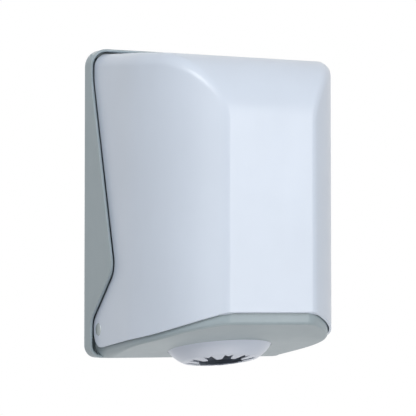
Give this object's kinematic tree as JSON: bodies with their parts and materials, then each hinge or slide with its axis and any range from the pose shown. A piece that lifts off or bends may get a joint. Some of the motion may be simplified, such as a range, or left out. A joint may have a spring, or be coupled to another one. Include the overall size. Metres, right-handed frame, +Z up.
{
  "type": "wall paper towel dispenser",
  "caption": "Wall-mounted centre-feed paper dispenser: grey back plate and tray, white cover hinged low down with a key lock on top, and a bayonet nozzle with a star opening.",
  "frame": {"origin": "centre of the four wall-screw holes, on the wall plane", "axes": "+X to the right seen from the front, +Y into the wall, +Z up"},
  "size_m": [0.25, 0.215, 0.3594],
  "materials": {
    "grey_plastic": "satin moulded",
    "white_plastic": "satin gloss moulded",
    "nozzle_plastic": "satin gloss moulded",
    "bush_plastic": "natural acetal",
    "pin_steel": "white coated steel",
    "spring_steel": "oiled spring steel",
    "lock_chrome": "nickel plated",
    "zinc_steel": "zinc plated",
    "screw_steel": "zinc plated",
    "buffer_rubber": "matt"
  },
  "bodies": {
    "wall_unit": {"back_plate": "grey_plastic", "bottom_tray": "grey_plastic", "hinge_bush_left": "bush_plastic", "hinge_bush_right": "bush_plastic", "lock_keeper": "zinc_steel", "keeper_screws": "screw_steel", "tray_screws": "screw_steel", "stop_buffers": "buffer_rubber"},
    "cover": {"cover": "white_plastic", "hinge_pin_left": "pin_steel", "hinge_pin_right": "pin_steel", "hinge_clip_left": "spring_steel", "hinge_clip_right": "spring_steel", "lock_housing": "lock_chrome", "lock_nut": "zinc_steel"},
    "lock": {"lock_plug": "lock_chrome", "lock_cam": "zinc_steel", "cam_washer": "zinc_steel", "cam_screw": "zinc_steel"},
    "nozzle": {"nozzle": "nozzle_plastic"}
  },
  "joints": [
    {"name": "cover_hinge", "type": "hinge", "parent": "wall_unit", "child": "cover", "pos_m": [0, -0.0265, -0.1429], "axis": [1, 0, 0], "range_deg": [0, 65]},
    {"name": "key_turn", "type": "hinge", "parent": "cover", "child": "lock", "pos_m": [0, -0.038, 0.1674], "axis": [0, -0.0872, 0.9962], "range_deg": [0, 90]},
    {"name": "nozzle_bayonet", "type": "hinge", "parent": "wall_unit", "child": "nozzle", "pos_m": [0, -0.0917, -0.1636], "axis": [0, 0.1754, 0.9845], "range_deg": [0, 27]}
  ]
}
